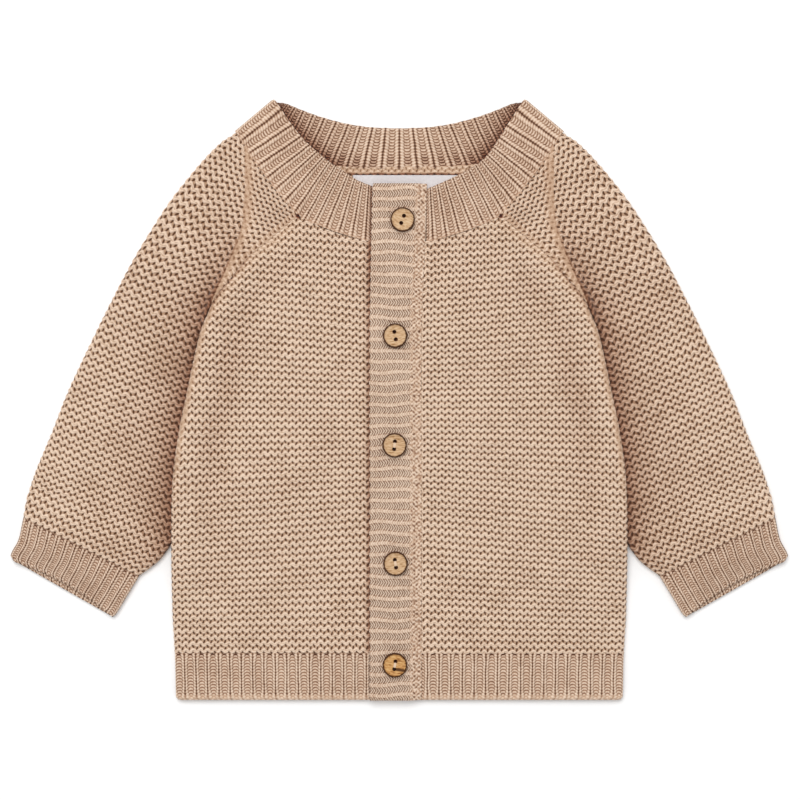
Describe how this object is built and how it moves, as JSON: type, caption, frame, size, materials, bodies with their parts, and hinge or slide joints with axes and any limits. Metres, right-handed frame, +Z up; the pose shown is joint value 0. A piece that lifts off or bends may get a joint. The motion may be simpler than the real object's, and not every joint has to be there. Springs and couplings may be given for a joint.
{
  "type": "baby cardigan",
  "caption": "Knitted raglan baby cardigan laid flat, front up, with ribbed neckband, hem and cuffs, a ribbed button placket and wooden buttons.",
  "frame": {"origin": "on the table, under the middle of the laid garment's bounding box", "axes": "+X to the right of the garment as it lies front up, +Y towards the neck, +Z up from the table"},
  "size_m": [0.4276, 0.3299, 0.0108],
  "materials": {
    "knit": "matt beige cotton and wool yarn in garter stitch",
    "rib_knit": "matt beige cotton and wool yarn in 1x1 rib",
    "label": "blank white woven satin",
    "button_wood": "light wood with a burnt rim, satin varnish"
  },
  "bodies": {
    "root": {"back_panel": "knit", "front_left": "knit", "front_right": "knit", "sleeve_left": "knit", "sleeve_right": "knit", "neckband": "rib_knit", "hem_rib_back": "rib_knit", "hem_rib_front_left": "rib_knit", "hem_rib_front_right": "rib_knit", "cuff_left": "rib_knit", "cuff_right": "rib_knit", "placket": "rib_knit", "button_band": "rib_knit", "neck_label": "label", "button_1": "button_wood", "button_2": "button_wood", "button_3": "button_wood", "button_4": "button_wood", "button_5": "button_wood"}
  },
  "joints": []
}
